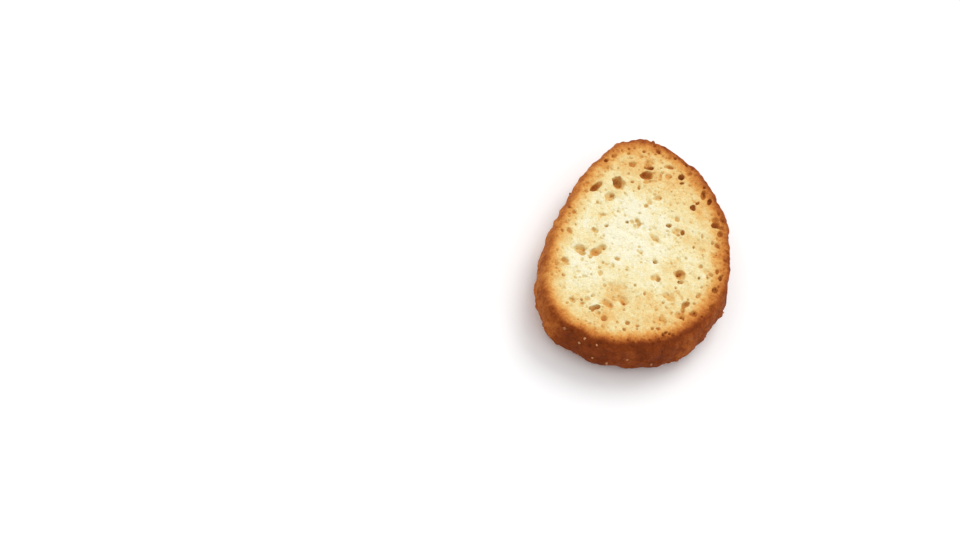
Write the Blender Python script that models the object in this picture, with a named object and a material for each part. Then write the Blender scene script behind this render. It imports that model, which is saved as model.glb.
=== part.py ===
"""A slice of a small white loaf, baked twice: dry, pale, open crumb inside a browned crust.

The slice lies on one cut face. Its length runs along Y, the flat sole of the loaf is on the -X side
and the dome of its crust on the +X side. The origin is under the middle of the slice.
"""

import math
import random

import bmesh
import bpy
from mathutils import Euler, Matrix, Vector, noise

MM = 0.001

# Driving dimensions of the slice, over its bulging crust.
LENGTH = 77.5 * MM
WIDTH = 54.5 * MM
THICKNESS = 13 * MM

# Outline: two half superellipses, which meet on the line where the slice is longest.
SOLE_DEPTH = 0.365 * WIDTH      # from that line to the sole
DOME_DEPTH = WIDTH - SOLE_DEPTH
SOLE_POWER = 2.4
DOME_POWER = 2.0
DOME_LEAN = 0.12                # how far the dome leans towards -Y, for each metre out

# Crust: how far its edges lie inside the bulging middle, and how uneven it is.
BULGE = 1.6 * MM
UPPER_ROUND = 1.7 * MM
LOWER_ROUND = 3.2 * MM
LOWER_ROUND_CHANGE = 1.0 * MM   # more on the soft side, less on the other
SOFT_SIDE = Vector((-0.8, -0.6, 0.0))
OUTLINE_WAVE = 0.6 * MM
OUTLINE_WAVE_SIZE = 13 * MM
WRINKLE = 0.55 * MM
WRINKLE_SIZE = 4.5 * MM

# Dents in the crust: the place x, y, z, then radius and depth, in millimetres. A negative depth
# is a swelling.
CRUST_DENTS = (
    (-18.8, -30.4, 1.5, 5.0, 1.2),
    (-26.0, 6.0, 9.0, 7.0, 0.5),
    (24.0, 14.0, 5.0, 6.0, 0.6),
    (-24.0, 23.0, 10.0, 6.0, 0.8),
    (24.0, 9.0, 8.0, 5.0, 0.8),
    (23.5, -24.0, 4.0, 5.0, -0.7),
    (27.0, -5.0, 6.0, 4.0, -0.4),
    (24.0, 5.5, 8.0, 4.0, 0.4),
    (8.0, -36.5, 3.5, 7.0, 0.9),
    (-10.0, -38.0, 4.0, 6.0, 1.0),
    (-11.0, 38.5, 9.0, 4.0, -0.6),
    (-3.0, 37.5, 9.0, 6.0, 0.8),
)

# Upper cut face: a little uneven, and lower in the middle.
FACE_WAVE = 0.20 * MM
FACE_WAVE_SIZE = 11 * MM
FACE_DISH = 0.25 * MM
FACE_RINGS = (0.94, 0.76, 0.52, 0.26)

# Large pores of the upper face, in millimetres and degrees: the place x, y, then length, width,
# the turn of the length from +X, and depth.
LARGE_PORES = (
    (-15.0, 17.0, 4.2, 3.8, -80, 2.6),
    (-20.5, 12.5, 4.4, 1.8, 70, 2.0),
    (-15.5, 11.5, 3.6, 2.8, 60, 0.8),
    (-8.5, 24.0, 4.4, 2.4, 40, 2.0),
    (-8.5, 27.0, 3.0, 1.6, 30, 1.8),
    (-9.5, 28.5, 3.8, 2.0, 30, 0.5),
    (-7.5, 22.0, 3.0, 1.6, 30, 0.8),
    (-13.5, 26.0, 2.2, 1.4, 40, 0.8),
    (-19.5, 25.5, 2.4, 1.2, 60, 0.8),
    (-9.0, 18.5, 2.0, 1.0, -70, 0.9),
    (-2.5, 18.0, 2.4, 2.0, 60, 0.6),
    (-2.5, 27.0, 2.4, 2.0, 70, 0.7),
    (-3.0, 30.5, 2.2, 1.2, 20, 0.9),
    (1.0, 29.0, 2.2, 2.0, 90, 1.8),
    (9.0, 26.0, 4.2, 1.6, -80, 1.1),
    (11.5, 24.5, 2.4, 1.4, -80, 1.4),
    (7.5, 20.0, 2.4, 2.0, 90, 1.8),
    (15.5, 17.5, 2.2, 2.0, 60, 1.8),
    (18.0, 15.0, 2.4, 2.0, 80, 0.9),
    (8.0, 10.0, 2.0, 1.4, -80, 1.2),
    (6.0, 9.5, 2.8, 2.2, 60, 0.6),
    (1.5, 4.0, 4.8, 2.0, -20, 0.6),
    (19.0, 7.5, 3.0, 2.0, -80, 0.6),
    (21.5, 2.0, 2.0, 1.2, -80, 1.2),
    (23.0, -4.0, 2.2, 1.6, -80, 1.0),
    (-15.0, 4.5, 2.2, 1.0, 30, 0.6),
    (-22.0, -6.0, 2.6, 1.6, -50, 0.9),
    (-17.0, -10.0, 4.0, 2.8, 20, 1.0),
    (-16.0, -11.0, 2.6, 2.0, -80, 1.0),
    (-12.5, -9.0, 3.2, 2.4, 60, 1.3),
    (-11.5, -6.5, 3.0, 2.2, 20, 1.0),
    (-12.5, -28.0, 2.0, 1.8, 60, 0.6),
    (-2.5, -19.0, 6.8, 5.8, 60, 0.4),
    (-3.5, -24.0, 4.0, 2.6, -10, 1.0),
    (0.0, -20.5, 4.4, 2.8, -20, 0.9),
    (-6.0, -27.0, 2.8, 1.4, 40, 1.3),
    (-2.5, -29.5, 2.0, 1.6, 60, 0.7),
    (5.5, -9.0, 2.6, 2.0, 30, 0.5),
    (12.0, -4.0, 3.6, 3.4, 80, 2.2),
    (13.0, -6.5, 2.6, 2.2, 50, 1.3),
    (12.0, -13.0, 4.0, 3.8, 30, 0.8),
    (17.0, -13.0, 3.0, 1.8, 60, 1.2),
    (16.5, -17.5, 3.6, 2.8, 50, 0.7),
    (20.0, -15.0, 2.6, 2.2, 50, 1.0),
    (12.5, -21.0, 3.0, 2.4, 50, 0.7),
)

# Small pores, scattered: how many, and the range of their lengths.
UPPER_PORES = 26
UPPER_PORE_LENGTHS = (0.9 * MM, 1.7 * MM)
LOWER_PORES = 34
LOWER_PORE_LENGTHS = (1.0 * MM, 4.4 * MM)
PORE_REACH = 0.88               # share of the outline that scattered pores keep inside
PORE_GAP = 0.5 * MM
PORE_UNEVENNESS = 0.22
FLAT_SPOT = 3.0 * MM            # radius about the origin that the lower face keeps free of pores

# Grains of semolina baked on to the crust. A place on the crust is a heading from +X about the
# middle, in degrees, and a height in millimetres. Some grains have their own places. The rest wind
# round the crust, a golden angle apart.
GRAINS = 24
GRAIN_LENGTHS = (0.8 * MM, 1.3 * MM)
PLACED_GRAINS = ((269, 6.0), (283, 7.6), (268, 11.6), (262, 11.6), (261, 10.0), (253, 11.6), (106, 11.0))
GRAIN_HEIGHTS = (1.8, 8.0)
GOLDEN_ANGLE = 137.508
HEIGHT_STEP = 0.7549            # from one grain's height to the next, as a share of the range

# Fineness of the mesh.
OUTLINE_POINTS = 104
OUTLINE_SAMPLES = 1440
ARC_STEPS = 3
SIDE_STEPS = 4
COARSE_PORE = 1.5 * MM          # pores up to this length have fewer faces

CRUMB_COLOUR = (0.87, 0.69, 0.36, 1.0)
CRUMB_ROUGHNESS = 0.85


def clear_scene():
    """Remove whatever the file holds."""
    for thing in list(bpy.data.objects):
        bpy.data.objects.remove(thing, do_unlink=True)


def outline_point(angle):
    """A point of the slice's outline, seen from above."""
    across, along = math.cos(angle), math.sin(angle)
    depth, power = (DOME_DEPTH, DOME_POWER) if across > 0 else (SOLE_DEPTH, SOLE_POWER)
    x = math.copysign(depth * abs(across) ** (2 / power), across)
    y = math.copysign(LENGTH / 2 * abs(along) ** (2 / power), along)
    return Vector((x, y - DOME_LEAN * max(x, 0.0), 0.0))


def even_outline(count):
    """Points spaced evenly round the outline, with the middle of its box at the origin."""
    turns = [2 * math.pi * i / OUTLINE_SAMPLES for i in range(OUTLINE_SAMPLES + 1)]
    samples = [outline_point(turn) for turn in turns]
    low = Vector(map(min, *samples))
    high = Vector(map(max, *samples))
    runs = [0.0]
    for before, after in zip(samples, samples[1:]):
        runs.append(runs[-1] + (after - before).length)
    points = []
    place = 0
    for i in range(count):
        goal = runs[-1] * i / count
        while runs[place + 1] < goal:
            place += 1
        share = (goal - runs[place]) / (runs[place + 1] - runs[place])
        points.append(samples[place].lerp(samples[place + 1], share) - (low + high) / 2)
    return points


def outward(points, i):
    """The outward direction of a closed ring of points at one of them."""
    along = points[(i + 1) % len(points)] - points[i - 1]
    return Vector((along.y, -along.x, 0.0)).normalized()


def edge_levels(facing):
    """Heights and insets up the crust, from the lower cut face to the upper one."""
    lower_round = LOWER_ROUND + LOWER_ROUND_CHANGE * facing.dot(SOFT_SIDE)
    levels = []
    for i in range(ARC_STEPS):
        turn = math.pi / 2 * i / ARC_STEPS
        levels.append((lower_round * (1 - math.cos(turn)), lower_round * (1 - math.sin(turn))))
    for i in range(SIDE_STEPS + 1):
        share = i / SIDE_STEPS
        levels.append((lower_round * (1 - share) + (THICKNESS - UPPER_ROUND) * share, 0.0))
    for i in range(1, ARC_STEPS + 1):
        turn = math.pi / 2 * i / ARC_STEPS
        height = THICKNESS - UPPER_ROUND * (1 - math.sin(turn))
        levels.append((height, UPPER_ROUND * (1 - math.cos(turn))))
    return [(height, inset + BULGE * (2 * height / THICKNESS - 1) ** 2) for height, inset in levels]


def crust_relief(place):
    """How far the crust stands out of its plain shape at a place."""
    relief = OUTLINE_WAVE * noise.noise(Vector((place.x, place.y, 0.0)) / OUTLINE_WAVE_SIZE)
    middle = 1 - (2 * place.z / THICKNESS - 1) ** 2
    relief += WRINKLE * middle * noise.noise(place / WRINKLE_SIZE)
    for x, y, z, radius, depth in CRUST_DENTS:
        away = (place / MM - Vector((x, y, z))).length / radius
        relief -= depth * MM * math.exp(-away * away)
    return relief


def face_height(spot, share):
    """Height of the upper cut face over a spot, a given share of the way out to its edge."""
    wave = FACE_WAVE * noise.noise(Vector((spot.x, spot.y, THICKNESS)) / FACE_WAVE_SIZE)
    return THICKNESS - (FACE_DISH - wave) * (1 - share ** 4)


def centre(mesh):
    """Move a mesh sideways until its box is over the origin."""
    xs = [vert.co.x for vert in mesh.verts]
    ys = [vert.co.y for vert in mesh.verts]
    shift = Vector((min(xs) + max(xs), min(ys) + max(ys), 0.0)) / -2
    bmesh.ops.translate(mesh, vec=shift, verts=mesh.verts)


def make_slab():
    """The slice without its pores and grains, as a bmesh."""
    outline = even_outline(OUTLINE_POINTS)
    rings = []
    for i, point in enumerate(outline):
        facing = outward(outline, i)
        for level, (height, inset) in enumerate(edge_levels(facing)):
            place = Vector((point.x, point.y, height)) - facing * inset
            place += facing * crust_relief(place)
            if len(rings) <= level:
                rings.append([])
            rings[level].append(place)
    edge = rings[-1]
    for share in FACE_RINGS:
        spots = [point * share for point in edge]
        rings.append([Vector((spot.x, spot.y, face_height(spot, share))) for spot in spots])

    slab = bmesh.new()
    made = [[slab.verts.new(place) for place in ring] for ring in rings]
    for below, above in zip(made, made[1:]):
        for i in range(OUTLINE_POINTS):
            slab.faces.new((below[i - 1], below[i], above[i], above[i - 1]))
    slab.faces.new(list(reversed(made[0])))
    middle = slab.verts.new((0.0, 0.0, face_height(Vector(), 0.0)))
    for i in range(OUTLINE_POINTS):
        slab.faces.new((made[-1][i - 1], made[-1][i], middle))
    centre(slab)
    slab.normal_update()
    return slab


def add_lump(collection, name, fineness, sizes, placement, unevenness):
    """A closed, slightly lumpy ellipsoid in a collection."""
    lump = bmesh.new()
    bmesh.ops.create_icosphere(lump, subdivisions=fineness, radius=0.5)
    spot = placement.translation / MM
    for vert in lump.verts:
        vert.co *= 1 + unevenness * noise.noise(vert.co * 2.6 + spot)
    bmesh.ops.transform(lump, matrix=placement @ Matrix.Diagonal((*sizes, 1.0)), verts=lump.verts)
    mesh = bpy.data.meshes.new(name)
    lump.to_mesh(mesh)
    lump.free()
    collection.objects.link(bpy.data.objects.new(name, mesh))


def add_pore(collection, spot, height, length, width, turn, depth):
    """The hollow of one pore, centred on a cut face."""
    placement = Matrix.Translation((spot.x, spot.y, height)) @ Matrix.Rotation(math.radians(turn), 4, "Z")
    fineness = 2 if length > COARSE_PORE else 1
    add_lump(collection, "pore", fineness, (length, width, 2 * depth), placement, PORE_UNEVENNESS)


def share_of_reach(spot, outline):
    """How far out a spot lies on its way from the middle to the outline."""
    reach = max(outline, key=lambda point: point.normalized().dot(spot.normalized()))
    return min(spot.length / reach.length, 1.0)


def scatter_pores(draw, outline, count, lengths, taken):
    """Places and sizes of small pores, clear of those already taken."""
    pores = []
    while len(pores) < count:
        spot = draw.choice(outline) * PORE_REACH * math.sqrt(draw.random())
        length = lengths[0] + (lengths[1] - lengths[0]) * draw.random() ** 2.5
        if any((spot - other).length < (length + size) / 2 + PORE_GAP for other, size in taken):
            continue
        taken.append((spot, length))
        width = length * draw.uniform(0.55, 0.95)
        depth = width * draw.uniform(0.4, 0.8)
        pores.append((spot, length, width, draw.uniform(0, 180), depth))
    return pores


def add_pores(collection):
    """Every pore of both cut faces."""
    draw = random.Random(7)
    outline = even_outline(OUTLINE_POINTS)
    taken = []
    upper = []
    for x, y, length, width, turn, depth in LARGE_PORES:
        spot = Vector((x, y, 0.0)) * MM
        taken.append((spot, length * MM))
        upper.append((spot, length * MM, width * MM, turn, depth * MM))
    upper += scatter_pores(draw, outline, UPPER_PORES, UPPER_PORE_LENGTHS, taken)
    for spot, *sizes in upper:
        add_pore(collection, spot, face_height(spot, share_of_reach(spot, outline)), *sizes)
    taken = [(Vector(), 2 * FLAT_SPOT)]
    for spot, *sizes in scatter_pores(draw, outline, LOWER_PORES, LOWER_PORE_LENGTHS, taken):
        add_pore(collection, spot, 0.0, *sizes)


def grain_places():
    """Heading and height of every grain."""
    low, high = GRAIN_HEIGHTS
    places = list(PLACED_GRAINS)
    for i in range(GRAINS - len(PLACED_GRAINS)):
        places.append((i * GOLDEN_ANGLE, low + (high - low) * (i * HEIGHT_STEP % 1)))
    return places


def add_grains(collection, slab):
    """Semolina grains, half sunk in the crust, each at the middle of the face nearest its place."""
    draw = random.Random(11)
    spots = [face.calc_center_median() for face in slab.faces if abs(face.normal.z) < 0.7]
    for heading, height in grain_places():
        way = Vector((math.cos(math.radians(heading)), math.sin(math.radians(heading)), 0.0))
        level = Vector((0.0, 0.0, height * MM))
        spot = min(spots, key=lambda spot: (spot - way * spot.xy.length - level).length)
        spots.remove(spot)
        length = draw.uniform(*GRAIN_LENGTHS)
        tilt = Euler([draw.uniform(0, math.pi) for _ in range(3)]).to_matrix().to_4x4()
        sizes = (length, length * draw.uniform(0.7, 0.9), length * draw.uniform(0.6, 0.8))
        add_lump(collection, "grain", 1, sizes, Matrix.Translation(spot) @ tilt, PORE_UNEVENNESS)


def combine(body, operation, collection):
    """Cut or join a collection's objects, then remove them."""
    bpy.context.scene.collection.children.link(collection)
    boolean = body.modifiers.new(operation.title(), "BOOLEAN")
    boolean.operation = operation
    boolean.operand_type = "COLLECTION"
    boolean.collection = collection
    boolean.solver = "EXACT"
    graph = bpy.context.evaluated_depsgraph_get()
    result = bpy.data.meshes.new_from_object(body.evaluated_get(graph))
    body.modifiers.remove(boolean)
    body.data = result
    for thing in list(collection.objects):
        bpy.data.objects.remove(thing, do_unlink=True)
    bpy.data.collections.remove(collection)


def crumb_material():
    """Pale, dry crumb."""
    material = bpy.data.materials.new("crumb")
    material.use_nodes = True
    shader = material.node_tree.nodes["Principled BSDF"]
    shader.inputs["Base Color"].default_value = CRUMB_COLOUR
    shader.inputs["Roughness"].default_value = CRUMB_ROUGHNESS
    shader.inputs["Metallic"].default_value = 0.0
    return material


def make_slice():
    """The whole slice, as one closed body."""
    slab = make_slab()
    grains = bpy.data.collections.new("grains")
    add_grains(grains, slab)
    pores = bpy.data.collections.new("pores")
    add_pores(pores)

    mesh = bpy.data.meshes.new("toast_slice")
    slab.to_mesh(mesh)
    slab.free()
    body = bpy.data.objects.new("toast_slice", mesh)
    bpy.context.scene.collection.objects.link(body)
    combine(body, "UNION", grains)
    combine(body, "DIFFERENCE", pores)
    body.data.materials.clear()
    body.data.materials.append(crumb_material())
    body.data.shade_smooth()
    body.data.set_sharp_from_angle(angle=math.radians(50))


clear_scene()
make_slice()
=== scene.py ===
"""A slice of a small white loaf, baked twice: dry, pale, open crumb inside a browned crust."""

import math

import bmesh
import bpy
import numpy as np
import openvdb
from mathutils import Matrix, Vector


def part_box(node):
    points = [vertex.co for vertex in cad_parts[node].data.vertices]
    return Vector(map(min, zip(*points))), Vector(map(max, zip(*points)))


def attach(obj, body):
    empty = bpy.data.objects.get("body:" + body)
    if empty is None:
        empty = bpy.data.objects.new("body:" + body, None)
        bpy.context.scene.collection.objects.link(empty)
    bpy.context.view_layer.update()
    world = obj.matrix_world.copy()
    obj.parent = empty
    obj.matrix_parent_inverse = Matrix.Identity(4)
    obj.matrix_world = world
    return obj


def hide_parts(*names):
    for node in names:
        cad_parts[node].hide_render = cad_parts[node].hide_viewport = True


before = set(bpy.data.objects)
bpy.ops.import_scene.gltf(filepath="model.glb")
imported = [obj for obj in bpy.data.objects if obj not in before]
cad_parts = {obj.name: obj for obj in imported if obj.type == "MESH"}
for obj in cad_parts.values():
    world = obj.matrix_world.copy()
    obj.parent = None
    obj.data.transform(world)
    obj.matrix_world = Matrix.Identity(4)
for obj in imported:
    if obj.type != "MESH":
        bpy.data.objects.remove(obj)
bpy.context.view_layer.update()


# ---- The toasted slice ----
# A slice cut across a small white loaf with a flat sole, on the -X side, and a domed crust, then
# baked again until it is dry. Crumb and crust are one piece. It is made as a grid of distances to
# its surface, out of which the pores are taken. Its lengths are in millimetres until it is meshed.

MM = 0.001

low, high = (np.array(corner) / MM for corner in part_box("toast_slice"))
LENGTH = 77.5
WIDTH = 54.5
THICKNESS = float(high[2] - low[2])
SOLE_DEPTH = 0.365 * WIDTH
DOME_DEPTH = WIDTH - SOLE_DEPTH
SOLE_POWER = 2.4
DOME_POWER = 2.0
DOME_LEAN = 0.12
OUTLINE_POINTS = 720
BULGE = 1.6
UPPER_ROUND = 1.7
LOWER_ROUND = 3.2
LOWER_ROUND_CHANGE = 1.0
SOFT_SIDE = np.array((-0.8, -0.6))
CRUST_DENTS = (
    (-18.8, -30.4, 1.5, 5.0, 1.2),
    (-26.0, 6.0, 9.0, 7.0, 0.5),
    (24.0, 14.0, 5.0, 6.0, 0.6),
    (-24.0, 23.0, 10.0, 6.0, 0.8),
    (24.0, 9.0, 8.0, 5.0, 0.8),
    (23.5, -24.0, 4.0, 5.0, -0.7),
    (27.0, -5.0, 6.0, 4.0, -0.4),
    (24.0, 5.5, 8.0, 4.0, 0.4),
    (8.0, -36.5, 3.5, 7.0, 0.9),
    (-10.0, -38.0, 4.0, 6.0, 1.0),
    (-11.0, 38.5, 9.0, 4.0, -0.6),
    (-3.0, 37.5, 9.0, 6.0, 0.8),
)
CRUST_RELIEF = ((13.0, 0.12), (3.2, 0.11), (1.5, 0.14), (0.8, 0.11))
FACE_SINK = 0.1
FACE_DISH = 0.25
DISH_STEEPNESS = 3
FACE_RELIEF = ((9.0, 0.10), (4.0, 0.05), (2.0, 0.06), (0.8, 0.05))
LOWER_RELIEF = ((2.0, 0.05),)
ROOM_ROUND = 1.5

grain = 0.2
margin = 6
counts = [int(size / grain) + 2 * margin for size in (WIDTH + ROOM_ROUND, LENGTH + ROOM_ROUND, THICKNESS)]
xs = (np.arange(counts[0]) - (counts[0] - 1) / 2) * grain
ys = (np.arange(counts[1]) - (counts[1] - 1) / 2) * grain
zs = (np.arange(counts[2]) - margin + 0.5) * grain
dice = np.random.default_rng(5)


def outline_ring(count):
    """The widest line of the crust, seen from above, about the middle of its box."""
    turns = np.linspace(0, 2 * np.pi, count, endpoint=False)
    across, along = np.cos(turns), np.sin(turns)
    depth = np.where(across > 0, DOME_DEPTH, SOLE_DEPTH)
    power = 2 / np.where(across > 0, DOME_POWER, SOLE_POWER)
    x = np.copysign(depth * np.abs(across) ** power, across)
    y = np.copysign(LENGTH / 2 * np.abs(along) ** power, along) - DOME_LEAN * np.maximum(x, 0)
    ring = np.stack((x, y), 1)
    return ring - (ring.min(0) + ring.max(0)) / 2


def inward_distance(ring):
    """How far each column of the grid lies inside the outline."""
    runs = np.roll(ring, -1, 0) - ring
    distance = np.empty((len(xs), len(ys)))
    rows = np.arange(len(ys))
    for i, x in enumerate(xs):
        away = np.stack(np.broadcast_arrays(x, ys), 1)[:, None] - ring
        share = np.clip((away * runs).sum(2) / (runs ** 2).sum(1), 0, 1)
        gap = away - share[..., None] * runs
        nearest = (gap ** 2).sum(2).argmin(1)
        side = runs[nearest, 0] * away[rows, nearest, 1] - runs[nearest, 1] * away[rows, nearest, 0]
        distance[i] = np.copysign(np.sqrt((gap[rows, nearest] ** 2).sum(1)), side)
    return distance


def weights(places, size):
    """How much each point of a coarse row of numbers counts at each place."""
    steps = (places - places[0]) / size + 1.5
    apart = np.abs(steps[:, None] - np.arange(int(steps[-1]) + 4))
    near = (4 - 6 * apart ** 2 + 3 * apart ** 3) / 6
    return np.where(apart < 1, near, np.where(apart < 2, (2 - apart) ** 3 / 6, 0))


def uneven(layers, axes):
    """Smooth unevenness along some of the grid's axes, each layer of a size and a height."""
    total = 0
    for size, height in layers:
        tables = [weights(places, size) for places in axes]
        noise = dice.standard_normal([table.shape[1] for table in tables])
        for table in tables:
            noise = np.tensordot(noise, table, axes=(0, 1))
        total = total + height * (noise / noise.std()).astype(np.float32)
    return total


def rounded(a, b, radius):
    """The meeting of two surfaces, with a rounded edge."""
    return (np.hypot(np.maximum(a + radius, 0), np.maximum(b + radius, 0))
            + np.minimum(np.maximum(a, b) + radius, 0) - radius)


inside = inward_distance(outline_ring(OUTLINE_POINTS))
slope = np.stack(np.gradient(-inside, grain), -1)
facing = slope / np.linalg.norm(slope, axis=2, keepdims=True)
softness = facing @ SOFT_SIDE

relief = uneven(CRUST_RELIEF, (xs, ys, zs))
for x, y, z, radius, depth in CRUST_DENTS:
    away = ((xs[:, None, None] - x) ** 2 + (ys[:, None] - y) ** 2 + (zs - z) ** 2) / radius ** 2
    relief -= depth * np.exp(-away)
bulge = BULGE * (2 * zs / THICKNESS - 1) ** 2
side = (bulge - inside[..., None] - relief).astype(np.float32)

dish = FACE_DISH * np.clip(DISH_STEEPNESS * inside / inside.max(), 0, 1)
top = THICKNESS - FACE_SINK - dish + uneven(FACE_RELIEF, (xs, ys))
above = (zs - top[..., None]).astype(np.float32)
below = (np.abs(uneven(LOWER_RELIEF, (xs, ys)))[..., None] - zs).astype(np.float32)
lower_round = (LOWER_ROUND + LOWER_ROUND_CHANGE * softness)[..., None]
field = np.maximum(rounded(side, above, UPPER_ROUND), rounded(side, below, lower_round))
del relief, side, above, below

# The pores are gas cells that the knife opened. The large ones lie where they show: the place x, y,
# then length, width, the turn of the length from +X in degrees, and depth. The rest are scattered.

LARGE_PORES = (
    (-14.8, 16.9, 4.2, 3.8, -80, 1.2),
    (-15.6, 17.4, 2.8, 2.6, -80, 2.8),
    (-20.3, 12.9, 4.4, 1.8, 70, 1.1),
    (-20.8, 11.8, 2.4, 1.6, 70, 2.2),
    (-15.5, 11.5, 3.6, 2.8, 60, 0.8),
    (-15.0, 12.5, 1.2, 1.0, 10, 1.7),
    (-8.4, 23.8, 4.4, 2.4, 40, 1.1),
    (-8.8, 24.4, 3.2, 1.7, 40, 1.8),
    (-8.5, 27.0, 3.0, 1.6, 30, 1.6),
    (-9.5, 28.5, 3.8, 2.0, 30, 0.4),
    (-7.5, 22.0, 3.0, 1.6, 30, 0.8),
    (-13.5, 26.0, 2.2, 1.4, 40, 0.8),
    (-21.0, 23.0, 1.6, 1.2, 70, 1.0),
    (-19.5, 25.5, 2.4, 1.2, 60, 0.8),
    (-16.5, 30.5, 1.2, 1.0, 50, 0.8),
    (-12.0, 32.0, 1.4, 1.2, 50, 0.8),
    (-11.5, 19.5, 1.4, 1.2, 60, 0.9),
    (-9.0, 18.5, 2.0, 1.0, -70, 0.9),
    (-2.5, 18.0, 2.4, 2.0, 60, 0.6),
    (-2.5, 27.0, 2.4, 2.0, 70, 0.7),
    (-3.0, 30.5, 2.2, 1.2, 20, 0.9),
    (1.0, 29.0, 2.2, 2.0, 90, 1.8),
    (2.0, 27.0, 1.4, 1.0, 60, 1.5),
    (-5.0, 13.5, 1.6, 1.2, 80, 0.7),
    (9.0, 26.0, 4.2, 1.6, -80, 1.1),
    (11.5, 24.5, 2.4, 1.4, -80, 1.4),
    (7.5, 20.0, 2.4, 2.0, 90, 1.6),
    (8.5, 22.5, 1.8, 0.8, 70, 0.9),
    (15.5, 17.5, 2.2, 2.0, 60, 1.8),
    (15.0, 19.0, 2.4, 1.6, 40, 0.6),
    (18.0, 15.0, 2.4, 2.0, 80, 0.9),
    (3.5, 10.5, 1.6, 1.0, 30, 1.4),
    (8.0, 10.0, 2.0, 1.4, -80, 1.2),
    (6.0, 9.5, 2.8, 2.2, 60, 0.6),
    (1.5, 4.0, 4.8, 2.0, -20, 0.6),
    (2.0, 4.0, 2.4, 0.8, -20, 0.9),
    (12.5, 7.0, 1.4, 0.8, -80, 0.9),
    (13.5, 12.0, 2.0, 0.8, -70, 0.7),
    (18.5, 11.0, 1.6, 1.4, 70, 0.8),
    (19.0, 7.5, 3.0, 2.0, -80, 0.6),
    (21.5, 2.0, 2.0, 1.2, -80, 1.2),
    (23.0, 0.5, 1.8, 1.2, -80, 0.9),
    (17.5, -2.5, 1.4, 1.0, 90, 0.9),
    (19.5, -1.0, 2.0, 0.8, -70, 0.8),
    (23.0, -4.0, 2.2, 1.6, -80, 1.0),
    (-15.0, 4.5, 2.2, 1.0, 30, 0.6),
    (-23.0, 1.0, 1.6, 1.2, 80, 0.9),
    (-13.0, 1.0, 1.4, 1.0, 40, 0.7),
    (-16.0, -2.0, 1.8, 1.4, 90, 0.6),
    (-5.5, 7.5, 1.2, 1.0, -90, 0.8),
    (-22.0, -6.0, 2.6, 1.6, -50, 0.9),
    (-17.0, -10.0, 4.0, 2.8, 20, 1.0),
    (-16.0, -11.0, 2.6, 2.0, -80, 1.0),
    (-12.5, -9.0, 3.2, 2.4, 60, 1.3),
    (-11.5, -6.5, 3.0, 2.2, 20, 1.0),
    (-6.0, -8.0, 1.8, 1.6, 30, 1.1),
    (-6.5, -11.0, 2.2, 0.8, -70, 0.5),
    (-12.5, -28.0, 2.0, 1.8, 60, 0.6),
    (-10.5, -26.5, 0.8, 0.8, 70, 1.0),
    (-8.0, -23.5, 1.4, 1.2, 50, 0.6),
    (-2.5, -19.0, 6.8, 5.8, 60, 0.35),
    (-3.5, -24.0, 4.0, 2.6, -10, 0.85),
    (0.0, -20.5, 4.4, 2.8, -20, 0.75),
    (-6.0, -27.0, 2.8, 1.4, 40, 1.3),
    (-5.0, -28.5, 1.8, 1.6, 60, 0.4),
    (-2.5, -29.5, 2.0, 1.6, 60, 0.7),
    (5.0, -15.5, 1.6, 1.0, -80, 0.7),
    (7.0, -9.0, 1.6, 1.2, 90, 1.1),
    (5.5, -9.0, 2.6, 2.0, 30, 0.5),
    (12.2, -4.3, 3.6, 3.4, 80, 1.1),
    (11.8, -3.6, 2.2, 2.0, 80, 1.9),
    (13.0, -6.5, 2.6, 2.2, 50, 1.1),
    (12.0, -13.0, 4.0, 3.8, 30, 0.8),
    (17.0, -13.0, 3.0, 1.8, 60, 1.2),
    (17.0, -15.5, 1.8, 1.2, -80, 1.2),
    (16.5, -17.5, 3.6, 2.8, 50, 0.7),
    (20.0, -15.0, 2.6, 2.2, 50, 1.0),
    (12.5, -21.0, 3.0, 2.4, 50, 0.7),
    (4.0, -27.5, 1.4, 1.2, 80, 0.7),
    (7.0, -27.0, 1.4, 1.0, 30, 0.9),
    (7.0, -28.0, 1.2, 1.0, 40, 0.7),
    (12.5, -25.0, 1.4, 0.8, 30, 0.8),
    (14.5, -26.0, 0.8, 0.8, 70, 1.0),
    (15.0, -25.0, 1.0, 0.8, 70, 1.2),
    (16.0, -25.0, 1.0, 0.8, 70, 1.2),
)

# A pore deeper than LEAST_UNDERCUT is widest at UNDERCUT of its depth. A blend rounds the mouth of a
# hollow, in millimetres. Lumps make its wall uneven, as many times as much as WALL_LUMPS says. The
# grid is changed as far as REACH_SHARE of a hollow's size and REACH_ROOM more from its middle.

UNDERCUT = 0.33
LEAST_UNDERCUT = 1.2
LARGE_LENGTH = 3
LARGE_BLEND = 0.25
LARGE_LUMPS = 0.6
MIDDLE_LUMPS = 1.2
LOBE_PLACES = (0.4, 0.8)
LOBE_WIDTHS = (0.3, 0.5)
LOBE_LENGTH = 1.3
LOBE_DEPTH = 1.2
DEEPEST_LOBE = 1.6
LOBE_BLEND = 0.12
LOBE_LUMPS = 1.5
FLOOR_CELLS = (0.35, 0.8)
SMALL_BLEND = 0.05
SMALL_LUMPS = 1.4
SMALL_WIDTHS = (0.5, 1.0)
SMALL_DEPTHS = (0.3, 0.75)
LEAST_ROOM = 2.2
WALL_LUMPS = ((1.1, 0.12), (0.55, 0.06))
REACH_SHARE = 0.75
REACH_ROOM = 0.6

wobble = uneven(WALL_LUMPS, (xs, ys, zs))


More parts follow.
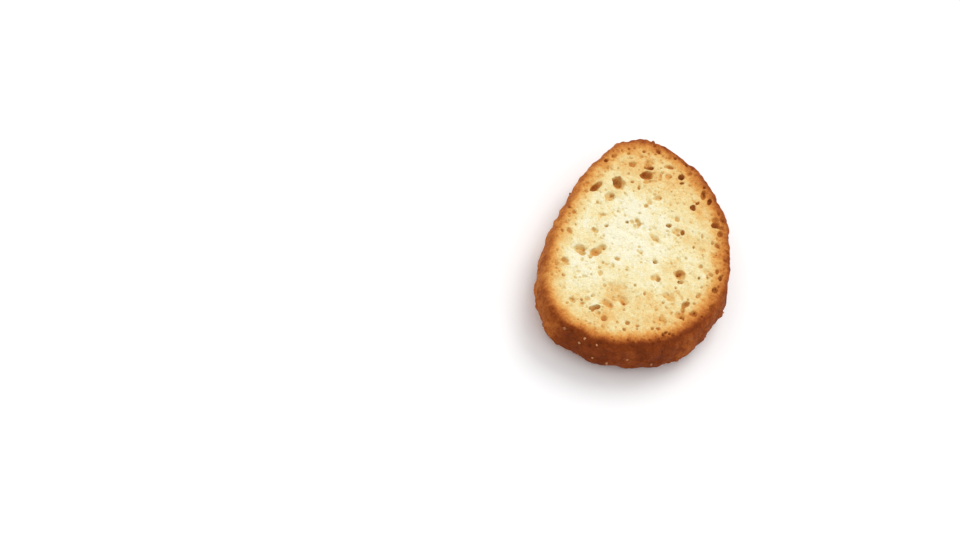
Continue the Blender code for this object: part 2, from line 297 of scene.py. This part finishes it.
def hollow(spot, sizes, turn, blend, lumps=1.0):
    """Cut one lumpy ellipsoid out of the bread, with a slightly rounded mouth."""
    reach = max(sizes[:2]) * REACH_SHARE + REACH_ROOM
    spans = []
    for places, at, far in zip((xs, ys, zs), spot, (reach, reach, sizes[2] * REACH_SHARE + REACH_ROOM)):
        spans.append(slice(*np.searchsorted(places, (at - far, at + far))))
    x = xs[spans[0]][:, None, None] - spot[0]
    y = ys[spans[1]][:, None] - spot[1]
    z = zs[spans[2]] - spot[2]
    across = (x * math.cos(turn) + y * math.sin(turn)) / sizes[0] * 2
    along = (y * math.cos(turn) - x * math.sin(turn)) / sizes[1] * 2
    up = z / sizes[2] * 2
    piece = tuple(spans)
    away = np.sqrt(across ** 2 + along ** 2 + up ** 2) * (1 + lumps * wobble[piece])
    cell = (away - 1) * min(sizes) / 2
    here = field[piece]
    gap = np.clip(0.5 + 0.5 * (-cell - here) / blend, 0, 1)
    field[piece] = here * (1 - gap) - cell * gap + blend * gap * (1 - gap)


def height_at(x, y):
    """Height of the upper cut face at a place."""
    return top[np.searchsorted(xs, x), np.searchsorted(ys, y)]


def large_pore(x, y, height, length, width, turn, depth):
    """A large pore, with lobes round its mouth and small cells opened in its floor."""
    sink = UNDERCUT * depth if depth > LEAST_UNDERCUT else 0
    wider = 1 / math.sqrt(1 - (sink / (depth - sink)) ** 2)
    cell = (length * wider, width * wider, 2 * (depth - sink))
    lumps = LARGE_LUMPS if length > LARGE_LENGTH else MIDDLE_LUMPS
    hollow((x, y, height - sink), cell, turn, LARGE_BLEND, lumps)
    for _ in range(int(length)):
        heading = dice.uniform(0, 2 * math.pi)
        across = 0.5 * length * dice.uniform(*LOBE_PLACES) * math.cos(heading)
        along = 0.5 * width * dice.uniform(*LOBE_PLACES) * math.sin(heading)
        spot_x = x + across * math.cos(turn) - along * math.sin(turn)
        spot_y = y + across * math.sin(turn) + along * math.cos(turn)
        size = dice.uniform(*LOBE_WIDTHS) * width
        lobe = (size * LOBE_LENGTH, size, min(size * LOBE_DEPTH, DEEPEST_LOBE * depth))
        hollow((spot_x, spot_y, height), lobe, dice.uniform(0, math.pi), LOBE_BLEND, LOBE_LUMPS)
        left = max(0.0, 1 - (2 * across / length) ** 2 - (2 * along / width) ** 2)
        lower = height - depth * math.sqrt(left)
        size = dice.uniform(*FLOOR_CELLS)
        hollow((spot_x, spot_y, lower), (size, size, size), 0, SMALL_BLEND)


for x, y, length, width, turn, depth in LARGE_PORES:
    large_pore(x, y, height_at(x, y), length, width, math.radians(turn), depth)


def scatter(count, sizes, power, heights, rooms=(LEAST_ROOM, WIDTH), dome_share=-1.0):
    """Small pores scattered over a cut face, most of them near the least size."""
    made = 0
    while made < count:
        x = dice.uniform(xs[0], xs[-1])
        y = dice.uniform(ys[0], ys[-1])
        column = np.searchsorted(xs, x), np.searchsorted(ys, y)
        if not rooms[0] < inside[column] < rooms[1] or facing[column][0] < dome_share:
            continue
        length = sizes[0] + (sizes[1] - sizes[0]) * dice.random() ** power
        width = length * dice.uniform(*SMALL_WIDTHS)
        depth = width * dice.uniform(*SMALL_DEPTHS)
        spot = (x, y, heights(x, y))
        hollow(spot, (length, width, 2 * depth), dice.uniform(0, math.pi), SMALL_BLEND, SMALL_LUMPS)
        made += 1


# The upper face has small pores, fine pits over all of it, and more pores along the rim: how many,
# the least and greatest length, and the power that makes most of them short. DOME_RIM and WHOLE_RIM
# are how far inside the outline the last two kinds lie. DOME_SHARE keeps the one kind to the dome.

SMALL_PORES = (150, (0.7, 1.7), 2.5)
FINE_PITS = (3200, (0.4, 1.0), 1.5)
FINE_PIT_LIFT = 0.12
DOME_PORES = (45, (0.7, 1.5), 1.5)
DOME_RIM = (1.6, 4.5)
DOME_SHARE = 0.3
RIM_PORES = (35, (0.6, 1.1), 1.5)
WHOLE_RIM = (1.4, 4.0)

scatter(*SMALL_PORES, height_at)
scatter(*FINE_PITS, lambda x, y: height_at(x, y) + FINE_PIT_LIFT)
scatter(*DOME_PORES, height_at, DOME_RIM, DOME_SHARE)
scatter(*RIM_PORES, height_at, WHOLE_RIM)

# The lower face has large pores, small pores and fine pits too, all of them scattered.

LOWER_SMALL_PORES = (200, (0.7, 1.8), 2.5)
LOWER_PITS = (3500, (0.4, 1.0), 1.5)
LOWER_LARGE_PORES = 46
LOWER_ROOM = 4
LOWER_SHORTEST = 1.4
LOWER_SPREAD = 3.0
LOWER_POWER = 1.6
LOWER_WIDTHS = (0.5, 0.9)
LOWER_DEPTHS = (0.2, 0.6)
LOWER_PIT_DROP = 0.1

for _ in range(LOWER_LARGE_PORES):
    room = 0
    while room < LOWER_ROOM:
        x = dice.uniform(xs[0], xs[-1])
        y = dice.uniform(ys[0], ys[-1])
        room = inside[np.searchsorted(xs, x), np.searchsorted(ys, y)]
    length = LOWER_SHORTEST + LOWER_SPREAD * dice.random() ** LOWER_POWER
    large_pore(x, y, 0.0, length, length * dice.uniform(*LOWER_WIDTHS), dice.uniform(0, math.pi),
               length * dice.uniform(*LOWER_DEPTHS))
scatter(*LOWER_SMALL_PORES, lambda x, y: 0.0)
scatter(*LOWER_PITS, lambda x, y: -LOWER_PIT_DROP)

# The grid is meshed, and thinned where the bread is smooth.

MOST_TRIANGLES = 192000

grid = openvdb.FloatGrid(1.0)
grid.copyFromArray(np.ascontiguousarray(field, dtype=np.float32))
points, triangles, quads = grid.convertToPolygons(isovalue=0.0, adaptivity=0.0)
places = np.stack([np.interp(points[:, i], np.arange(len(axis)), axis)
                   for i, axis in enumerate((xs, ys, zs))], 1)
places[:, 2] = np.maximum(places[:, 2], 0)
mesh = bpy.data.meshes.new("toasted_bread")
mesh.from_pydata((places * MM).tolist(), [], quads.tolist() + triangles.tolist())
bread = bpy.data.objects.new("toasted_bread", mesh)
bpy.context.scene.collection.objects.link(bread)
thin = bread.modifiers.new("Thin", "DECIMATE")
thin.ratio = min(1.0, MOST_TRIANGLES / (2 * len(quads)))
graph = bpy.context.evaluated_depsgraph_get()
fine = bpy.data.meshes.new_from_object(bread.evaluated_get(graph))
bread.modifiers.clear()
bread.data = fine

# Specks of crumb that the pores have cut free are left out.

loaf = bmesh.new()
loaf.from_mesh(bread.data)
reached = set()
ahead = [max(loaf.verts, key=lambda vertex: vertex.co.x)]
while ahead:
    vertex = ahead.pop()
    if vertex not in reached:
        reached.add(vertex)
        ahead.extend(edge.other_vert(vertex) for edge in vertex.link_edges)
bmesh.ops.delete(loaf, geom=[vertex for vertex in loaf.verts if vertex not in reached], context="VERTS")
loaf.to_mesh(bread.data)
loaf.free()
bread.data.shade_smooth()

# How pale the bread is, from 0 in the darkest crust to 1 in the palest crumb. The oven browns it
# from the crust inwards and the two ends of the slice further in. The hollow of every pore is browned
# too, partly by the oven and partly as painted shade. BROWN_RIM goes round the slice: a heading in
# degrees from +X, how many millimetres inside the outline the brown begins to fade, how much paler
# each millimetre further in is, and how pale the crust itself is. The crust is paler on the -X side
# partly for its own colour and partly as painted light, on the side that catches more light.

BROWN_RIM = (
    (0, 0.1, 0.105, 0.10),
    (22, 0.5, 0.1, 0.12),
    (45, 0.6, 0.105, 0.14),
    (68, 1.1, 0.115, 0.12),
    (90, 1.8, 0.115, 0.11),
    (112, 1.0, 0.115, 0.12),
    (135, -0.6, 0.08, 0.13),
    (158, -0.8, 0.103, 0.18),
    (180, -1.1, 0.10, 0.23),
    (202, -1.2, 0.088, 0.23),
    (225, 0.4, 0.105, 0.11),
    (247, 1.1, 0.133, 0.03),
    (270, 1.2, 0.15, 0.00),
    (292, 2.3, 0.14, 0.02),
    (315, 2.2, 0.14, 0.04),
    (338, 2.5, 0.12, 0.07),
)
DARKEST_CRUST = 0.07

# END_BROWNS is for the -Y end and then the +Y end: how far from the middle its brown is full, how
# far from the middle it begins, how pale the full brown is, and how much the brown leans with X.
# FACE_PALE is how pale the face is near its rim, and how far inside the outline it starts and stops
# turning paler. The face is also a little darker towards the dome.

END_BROWNS = ((27.0, 0.0, 0.72, 0.5), (22.0, 8.0, 0.66, 0.3))
FACE_PALE = (0.83, 7.0, 25.0)
DOME_DARKENING = 0.002
BROWN_UNEVENNESS = ((14.0, 1.6), (6.0, 0.8))
RIM_UNEVENNESS = 0.2
FACE_MOTTLES = ((5.0, 0.02), (2.5, 0.02))
LOWER_MOTTLING = 2
CRUST_MOTTLES = ((4.0, 0.03),)
MOTTLE_START = 4

# The crust's own colour reaches CRUST_WIDTH inside the outline. It comes in over CRUST_EDGE there,
# and over CRUST_FADE of depth below the cut face. The hollow of a pore is browned, partly as the
# oven's browning and partly as painted shade, and darkened besides by painted shade that deepens
# with depth. PORE_DEPTH is how deep most of that is reached, and PORE_CURVE how suddenly.

CRUST_WIDTH = 2.8
CRUST_EDGE = 1.2
CRUST_FADE = 0.9
PORE_DEPTH = 0.9
PORE_CURVE = 1.4
PORE_BROWNING_AND_SHADE = 0.57
PORE_PAINTED_SHADE = 0.11

# Brown patches of the upper face: x, y, radius, and how much browner it is there. A patch with a
# negative number is paler.

BROWN_SPOTS = (
    (-2.5, -19.0, 4.0, 0.08),
    (-2.0, -25.5, 2.5, 0.1),
    (-2.5, -29.5, 2.5, 0.14),
    (-13.0, -27.0, 2.5, 0.08),
    (6.0, -16.5, 3.0, 0.13),
    (-15.5, -2.0, 2.5, 0.05),
    (-15.0, 4.5, 3.0, 0.05),
    (-11.0, -6.5, 3.0, 0.1),
    (0.0, 4.5, 4.0, 0.12),
    (7.0, 10.0, 3.0, 0.1),
    (11.5, 7.5, 3.0, 0.12),
    (9.5, -2.0, 2.5, 0.1),
    (8.0, -5.0, 5.0, 0.07),
    (12.5, -12.5, 3.5, 0.06),
    (12.0, -19.5, 6.0, 0.11),
    (19.0, 6.5, 3.0, 0.1),
    (11.5, 21.5, 4.0, 0.08),
    (-20.0, 20.5, 3.0, 0.14),
    (-16.0, 14.5, 5.0, 0.1),
    (-4.0, 23.0, 2.5, -0.1),
    (-20.0, -15.0, 4.0, -0.14),
    (-14.0, -11.0, 3.5, -0.08),
    (-13.5, -18.0, 5.0, -0.12),
    (-8.5, -29.0, 4.0, -0.1),
    (-18.0, -25.5, 3.5, -0.1),
    (8.0, -12.5, 2.5, -0.08),
    (14.5, 1.5, 3.0, -0.1),
    (16.0, -4.0, 4.0, -0.05),
)


def looked_up(table, where):
    """Values of a table over the grid's columns, at the mesh's vertices."""
    u = np.clip((where[:, 0] - xs[0]) / grain, 0, len(xs) - 1.001)
    v = np.clip((where[:, 1] - ys[0]) / grain, 0, len(ys) - 1.001)
    i, j = u.astype(int), v.astype(int)
    a, b = u - i, v - j
    return ((table[i, j] * (1 - b) + table[i, j + 1] * b) * (1 - a)
            + (table[i + 1, j] * (1 - b) + table[i + 1, j + 1] * b) * a)


def smooth(values):
    """An even ramp, eased at both ends."""
    values = np.clip(values, 0, 1)
    return values * values * (3 - 2 * values)


dice = np.random.default_rng(9)
reach_noise = uneven(BROWN_UNEVENNESS, (xs, ys))
far, near, end_pale, lean = np.where(ys < 0, *np.array(END_BROWNS)[..., None])
along = np.abs(ys + reach_noise) + lean * xs[:, None] * np.clip(np.abs(ys) / far, 0, 1)
ends = end_pale + (1 - end_pale) * np.clip((far - along) / (far - near), 0, 1)
edge_pale, near, far = FACE_PALE
middle = edge_pale + (1 - edge_pale) * smooth((inside - near) / (far - near)) - DOME_DARKENING * xs[:, None]
compass = np.degrees(np.arctan2(facing[..., 1], facing[..., 0]))
headings, *rims = np.array(BROWN_RIM).T
start, rate, crust_pale_and_painted_light = (np.interp(compass, headings, values, period=360) for values in rims)
off_rim = np.clip(inside / MOTTLE_START, 0, 1)
sides = np.clip(rate * (inside - start + RIM_UNEVENNESS * reach_noise * off_rim), 0, None)
mottled = uneven(FACE_MOTTLES, (xs, ys)) * off_rim
crust_pale_and_painted_light += uneven(CRUST_MOTTLES, (xs, ys))
face_pale = np.minimum(np.minimum(sides, ends), middle)
pale_below = face_pale + LOWER_MOTTLING * mottled
pale_above = face_pale + mottled
for x, y, radius, amount in BROWN_SPOTS:
    pale_above -= amount * np.exp(-((xs[:, None] - x) ** 2 + (ys - y) ** 2) / radius ** 2)

where = np.empty(len(bread.data.vertices) * 3)
bread.data.vertices.foreach_get("co", where)
where = where.reshape(-1, 3) / MM
upper = where[:, 2] > THICKNESS / 2
depth = np.clip(np.where(upper, looked_up(top, where) - where[:, 2], where[:, 2]), 0, None)
pale = np.where(upper, looked_up(pale_above, where), looked_up(pale_below, where))
on_side = smooth((CRUST_WIDTH - looked_up(inside, where)) / CRUST_EDGE)
sunk = 1 - np.exp(-(depth / PORE_DEPTH) ** PORE_CURVE)
# Pores are browned with depth, partly the oven's browning and partly painted shade.
in_pore = np.clip(pale, 0, 1) * (1 - PORE_BROWNING_AND_SHADE * sunk)
# The crust's paleness: paler on the -X side, partly its own colour and partly painted light.
crust = looked_up(crust_pale_and_painted_light, where)
on_crust = crust + (pale - crust) * np.exp(-depth / CRUST_FADE)
pale = in_pore + (on_crust - in_pore) * on_side
pale = DARKEST_CRUST + (1 - DARKEST_CRUST) * np.clip(pale, 0, 1)
# Painted shade: a pore's colour is darkened with its depth, where shade falls; the crust is left as it is.
painted_pore_shade = 1 - PORE_PAINTED_SHADE * sunk * (1 - on_side)
for name, values in (("pale", pale), ("painted_pore_shade", painted_pore_shade)):
    layer = bread.data.attributes.new(name, "FLOAT", "POINT")
    layer.data.foreach_set("value", values.astype(np.float32))

# Its material: the brown of the oven over a dry, mottled crumb, and a crust that is a little
# smoother. BROWNS gives the colour for each paleness. CRUST_TO_CRUMB is the paleness over which
# ROUGHNESS goes from the crust's to the crumb's.

BROWNS = (
    (0.00, (98, 40, 10)),
    (0.12, (132, 60, 20)),
    (0.20, (157, 82, 31)),
    (0.28, (182, 105, 46)),
    (0.36, (202, 128, 59)),
    (0.45, (215, 149, 76)),
    (0.55, (225, 172, 98)),
    (0.66, (230, 192, 125)),
    (0.78, (234, 211, 152)),
    (0.89, (238, 225, 178)),
    (1.00, (242, 235, 205)),
)
BROWN_MOTTLES = ((190.0, 0.32), (560.0, 0.32), (1500.0, 0.28))
CRUST_MOTTLING = 0.65
SPECK_SCALE = 2600.0
SPECK_SHADES = (0.86, 1.06)
CRUST_TO_CRUMB = (0.0, 0.5)
ROUGHNESS = (0.62, 0.85)
GRIT_SCALE = 1400.0
GRIT_STRENGTH = 0.7
GRIT_HEIGHT = 0.0003
SHINE = 0.06


def linear(red, green, blue):
    """A colour given in 8-bit numbers, made linear."""
    return [((c / 255 + 0.055) / 1.055) ** 2.4 for c in (red, green, blue)] + [1.0]


def add_node(tree, kind, inputs, **settings):
    """Add a node to a tree, and fill its inputs with values or with other nodes' outputs."""
    node = tree.nodes.new(kind)
    for name, value in settings.items():
        setattr(node, name, value)
    for key, value in inputs.items():
        if isinstance(value, bpy.types.NodeSocket):
            tree.links.new(value, node.inputs[key])
        else:
            node.inputs[key].default_value = value
    return node


def mapped(tree, value, taken, given):
    """A value moved from one range to another."""
    inputs = {0: value, 1: taken[0], 2: taken[1], 3: given[0], 4: given[1]}
    return add_node(tree, "ShaderNodeMapRange", inputs).outputs[0]


def browning_group():
    """The colour of baked dough for how pale it is, mottled at three sizes."""
    tree = bpy.data.node_groups.new("oven_browning", "ShaderNodeTree")
    tree.interface.new_socket("Pale", in_out="INPUT", socket_type="NodeSocketFloat")
    tree.interface.new_socket("Color", in_out="OUTPUT", socket_type="NodeSocketColor")
    pale_in = tree.nodes.new("NodeGroupInput").outputs["Pale"]
    spot = tree.nodes.new("ShaderNodeTexCoord").outputs["Object"]
    swing = 0.0
    for scale, amount in BROWN_MOTTLES:
        patch = add_node(tree, "ShaderNodeTexNoise", {"Vector": spot, "Scale": scale, "Detail": 3.0})
        off = add_node(tree, "ShaderNodeMath", {0: patch.outputs[0], 1: 0.5}, operation="SUBTRACT")
        swing = add_node(tree, "ShaderNodeMath", {0: off.outputs[0], 1: amount, 2: swing},
                         operation="MULTIPLY_ADD").outputs[0]
    share = mapped(tree, pale_in, (0.1, 0.5), (CRUST_MOTTLING, 1.0))
    total = add_node(tree, "ShaderNodeMath", {0: swing, 1: share, 2: pale_in},
                     operation="MULTIPLY_ADD")
    ramp = add_node(tree, "ShaderNodeValToRGB", {0: total.outputs[0]})
    elements = ramp.color_ramp.elements
    while len(elements) < len(BROWNS):
        elements.new(0.5)
    for element, (at, colour) in zip(elements, BROWNS):
        element.position = at
        element.color = linear(*colour)
    speck = add_node(tree, "ShaderNodeTexNoise", {"Vector": spot, "Scale": SPECK_SCALE, "Detail": 2.0})
    shade = mapped(tree, speck.outputs[0], (0.3, 0.7), SPECK_SHADES)
    toned = add_node(tree, "ShaderNodeMix", {0: 1.0, 6: ramp.outputs[0], 7: shade},
                     data_type="RGBA", blend_type="MULTIPLY")
    out = tree.nodes.new("NodeGroupOutput")
    tree.links.new(toned.outputs[2], out.inputs["Color"])
    return tree


browning = browning_group()
toast = bpy.data.materials.new("toast")
toast.use_nodes = True
tree = toast.node_tree
shader = tree.nodes["Principled BSDF"]
paleness = add_node(tree, "ShaderNodeAttribute", {}, attribute_name="pale").outputs["Fac"]
colour = add_node(tree, "ShaderNodeGroup", {}, node_tree=browning)
tree.links.new(paleness, colour.inputs["Pale"])
# Painted shade: the colour is darkened in the pores by the value stored on the mesh.
painted_pore_shade = add_node(tree, "ShaderNodeAttribute", {}, attribute_name="painted_pore_shade").outputs["Fac"]
colour_with_painted_shade = add_node(tree, "ShaderNodeMix", {0: 1.0, 6: colour.outputs["Color"], 7: painted_pore_shade},
                  data_type="RGBA", blend_type="MULTIPLY")
tree.links.new(colour_with_painted_shade.outputs[2], shader.inputs["Base Color"])
spot = tree.nodes.new("ShaderNodeTexCoord").outputs["Object"]
tree.links.new(mapped(tree, paleness, CRUST_TO_CRUMB, ROUGHNESS), shader.inputs["Roughness"])
coarse = add_node(tree, "ShaderNodeTexNoise", {"Vector": spot, "Scale": GRIT_SCALE, "Detail": 5.0,
                                               "Roughness": 0.6})
bump = add_node(tree, "ShaderNodeBump", {"Height": coarse.outputs[0], "Strength": GRIT_STRENGTH,
                                         "Distance": GRIT_HEIGHT})
tree.links.new(bump.outputs[0], shader.inputs["Normal"])
shader.inputs["Specular IOR Level"].default_value = SHINE
bread.data.materials.append(toast)
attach(bread, "root")
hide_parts("toast_slice")


# ---- The semolina ----
# Coarse grains of semolina, which the loaf was rolled in before it was baked. They are half sunk in
# its crust. A grain's place is a heading from +X about the middle, in degrees, and a height in
# millimetres. Some have their own places. The rest wind round, a golden angle apart.

GRAINS = 24
GRAIN_SIZES = (0.0007, 0.0013)
GRAIN_COLOURS = ((138, 84, 52), (208, 152, 104))
PLACED_GRAINS = ((269, 6.0), (283, 7.6), (268, 11.6), (262, 11.6), (261, 10.0), (253, 11.6), (106, 11.0))
GRAIN_HEIGHTS = (1.8, 8.0)
GOLDEN_ANGLE = 137.508
HEIGHT_STEP = 0.7549
WALL_DEPTH = 1.6
WALL_EDGE = 1.2
GRAIN_SHAPE = (1.0, 0.8, 0.7)
GRAIN_LUMP_SCALE = 2.2
GRAIN_TURNS = (6.28, 6.28, 6.28)
GRAIN_GRIT_SCALE = 4000.0
GRAIN_GRIT_STRENGTH = 0.4
GRAIN_GRIT_HEIGHT = 0.0001
GRAIN_ROUGHNESS = 0.65
GRAIN_SHINE = 0.2

grain_places = list(PLACED_GRAINS)
for i in range(GRAINS - len(PLACED_GRAINS)):
    share = i * HEIGHT_STEP % 1
    grain_places.append((i * GOLDEN_ANGLE, GRAIN_HEIGHTS[0] * (1 - share) + GRAIN_HEIGHTS[1] * share))

between = (where[:, 2] > WALL_EDGE) & (where[:, 2] < THICKNESS - WALL_EDGE)
wall = where[(looked_up(inside, where) < WALL_DEPTH) & between]
grain_spots = []
for heading, height in grain_places:
    way = np.array((math.cos(math.radians(heading)), math.sin(math.radians(heading))))
    outward = np.outer(np.hypot(wall[:, 0], wall[:, 1]), way)
    off = wall - np.column_stack((outward, np.full(len(wall), height)))
    grain_spots.append(wall[np.linalg.norm(off, axis=1).argmin()] * MM)


def join(tree, *pairs):
    """Link pairs of sockets."""
    for source, target in pairs:
        tree.links.new(source, target)


def semolina_tree(material):
    """Geometry Nodes that set a lumpy grain on every point of a mesh."""
    tree = bpy.data.node_groups.new("semolina", "GeometryNodeTree")
    sockets = {}
    for name, kind in (("Spots", "Geometry"), ("Least size", "Float"), ("Largest size", "Float")):
        sockets[name] = tree.interface.new_socket(name, in_out="INPUT", socket_type="NodeSocket" + kind)
    tree.interface.new_socket("Grains", in_out="OUTPUT", socket_type="NodeSocketGeometry")
    given = tree.nodes.new("NodeGroupInput").outputs
    ball = add_node(tree, "GeometryNodeMeshIcoSphere", {"Radius": 0.5, "Subdivisions": 3})
    lumps = add_node(tree, "ShaderNodeTexNoise", {"Scale": GRAIN_LUMP_SCALE, "Detail": 1.0})
    push = add_node(tree, "ShaderNodeVectorMath", {0: lumps.outputs["Color"], 1: (0.5, 0.5, 0.5)},
                    operation="SUBTRACT")
    lumpy = add_node(tree, "GeometryNodeSetPosition", {"Geometry": ball.outputs["Mesh"],
                                                       "Offset": push.outputs[0]})
    size = add_node(tree, "FunctionNodeRandomValue",
                    {"Min": given["Least size"], "Max": given["Largest size"], "Seed": 1},
                    data_type="FLOAT")
    heading = add_node(tree, "FunctionNodeRandomValue", {"Max": GRAIN_TURNS, "Seed": 2},
                       data_type="FLOAT_VECTOR")
    stretch = add_node(tree, "ShaderNodeCombineXYZ", dict(enumerate(GRAIN_SHAPE)))
    scale = add_node(tree, "ShaderNodeVectorMath", {0: stretch.outputs[0]}, operation="SCALE")
    placed = add_node(tree, "GeometryNodeInstanceOnPoints", {"Points": given["Spots"],
                                                            "Instance": lumpy.outputs[0]})
    join(tree, (size.outputs[1], scale.inputs["Scale"]), (scale.outputs[0], placed.inputs["Scale"]),
         (heading.outputs[0], placed.inputs["Rotation"]))
    shade = add_node(tree, "FunctionNodeRandomValue", {"Seed": 3}, data_type="FLOAT")
    named = add_node(tree, "GeometryNodeStoreNamedAttribute",
                     {"Geometry": placed.outputs[0], "Name": "pale"},
                     data_type="FLOAT", domain="INSTANCE")
    join(tree, (shade.outputs[1], named.inputs["Value"]))
    real = add_node(tree, "GeometryNodeRealizeInstances", {"Geometry": named.outputs[0]})
    done = add_node(tree, "GeometryNodeSetMaterial", {"Geometry": real.outputs[0], "Material": material})
    join(tree, (done.outputs[0], tree.nodes.new("NodeGroupOutput").inputs[0]))
    return tree, {name: socket.identifier for name, socket in sockets.items()}


semolina = bpy.data.materials.new("semolina")
semolina.use_nodes = True
tree = semolina.node_tree
shader = tree.nodes["Principled BSDF"]
paleness = add_node(tree, "ShaderNodeAttribute", {}, attribute_name="pale").outputs["Fac"]
darker, paler = (linear(*colour) for colour in GRAIN_COLOURS)
colour = add_node(tree, "ShaderNodeMix", {0: paleness, 6: darker, 7: paler}, data_type="RGBA")
join(tree, (colour.outputs[2], shader.inputs["Base Color"]))
spot = tree.nodes.new("ShaderNodeTexCoord").outputs["Object"]
grit = add_node(tree, "ShaderNodeTexNoise", {"Vector": spot, "Scale": GRAIN_GRIT_SCALE, "Detail": 2.0})
rough = add_node(tree, "ShaderNodeBump", {"Height": grit.outputs[0], "Strength": GRAIN_GRIT_STRENGTH,
                                          "Distance": GRAIN_GRIT_HEIGHT})
join(tree, (rough.outputs[0], shader.inputs["Normal"]))
shader.inputs["Roughness"].default_value = GRAIN_ROUGHNESS
shader.inputs["Specular IOR Level"].default_value = GRAIN_SHINE

grain_tree, sockets = semolina_tree(semolina)
spots_mesh = bpy.data.meshes.new("grain_spots")
spots_mesh.from_pydata([list(spot) for spot in grain_spots], [], [])
carrier = bpy.data.objects.new("grain_spots", spots_mesh)
bpy.context.scene.collection.objects.link(carrier)
sown = carrier.modifiers.new("Semolina", "NODES")
sown.node_group = grain_tree
for name, value in (("Least size", GRAIN_SIZES[0]), ("Largest size", GRAIN_SIZES[1])):
    sown[sockets[name]] = value
graph = bpy.context.evaluated_depsgraph_get()
grain_mesh = bpy.data.meshes.new_from_object(carrier.evaluated_get(graph))
bpy.data.objects.remove(carrier)
grain_mesh.shade_smooth()
grains = bpy.data.objects.new("semolina_grains", grain_mesh)
bpy.context.scene.collection.objects.link(grains)
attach(grains, "root")


# ---- The floor ----
# A plain white sheet that the slice lies on, a hair below it.

FLOOR_RADIUS = 6.0
FLOOR_DROP = 0.0002
FLOOR_WHITE = (0.96, 0.96, 0.96, 1)
FLOOR_ROUGHNESS = 0.9

bpy.ops.mesh.primitive_circle_add(vertices=96, radius=FLOOR_RADIUS, fill_type="NGON")
floor = bpy.context.object
floor.name = "floor"
floor.location.z = -FLOOR_DROP
paper = bpy.data.materials.new("white_floor")
paper.use_nodes = True
paper_shader = paper.node_tree.nodes["Principled BSDF"]
paper_shader.inputs["Base Color"].default_value = FLOOR_WHITE
paper_shader.inputs["Roughness"].default_value = FLOOR_ROUGHNESS
paper_shader.inputs["Specular IOR Level"].default_value = 0.0
floor.data.materials.append(paper)


# ---- Light and camera ----
# A white room, and one large soft lamp behind the slice and a little to its right, about 50 degrees
# up. The camera looks down along +Y, and is rolled, because the slice leans in the photograph.

ROOM_LIGHT = 0.89
LAMP_FROM = Vector((0.15, 0.65, 0.78))
LAMP_DISTANCE = 2.0
LAMP_SIZE = 1.2
LAMP_POWER = 16.6

world = bpy.data.worlds.new("white_room")
world.use_nodes = True
world.node_tree.nodes["Background"].inputs["Color"].default_value = (1, 1, 1, 1)
world.node_tree.nodes["Background"].inputs["Strength"].default_value = ROOM_LIGHT
bpy.context.scene.world = world
bpy.context.scene.view_settings.view_transform = "Standard"

softbox = bpy.data.lights.new("softbox", "AREA")
softbox.size = LAMP_SIZE
softbox.energy = LAMP_POWER
lamp = bpy.data.objects.new("softbox", softbox)
lamp.location = LAMP_FROM.normalized() * LAMP_DISTANCE
lamp.rotation_euler = LAMP_FROM.to_track_quat("Z", "Y").to_euler()
bpy.context.scene.collection.objects.link(lamp)

ELEVATION = math.radians(53)
ROLL = math.radians(24.3)
DISTANCE = 0.78
LENS = 100.3
SENSOR = 36.0
PHOTO_SIZE = (960, 540)
MIDDLE_PIXEL = (635.4, 270.7)

pixels = LENS / SENSOR * PHOTO_SIZE[0]
back = Vector((0, -math.cos(ELEVATION), math.sin(ELEVATION)))
upward = Vector((0, math.sin(ELEVATION), math.cos(ELEVATION)))
right = Vector((1, 0, 0)) * math.cos(ROLL) + upward * math.sin(ROLL)
upright = back.cross(right)
facing_slice = Matrix((right, upright, back)).transposed()
aim = Vector((MIDDLE_PIXEL[0] - PHOTO_SIZE[0] / 2, PHOTO_SIZE[1] / 2 - MIDDLE_PIXEL[1], -pixels))
turn = aim.rotation_difference(Vector((0, 0, -1))).to_matrix()
camera = bpy.data.objects.new("camera", bpy.data.cameras.new("camera"))
camera.data.lens = LENS
camera.data.sensor_width = SENSOR
camera.matrix_world = Matrix.Translation(back * DISTANCE) @ (facing_slice @ turn).to_4x4()
bpy.context.scene.collection.objects.link(camera)
bpy.context.scene.camera = camera
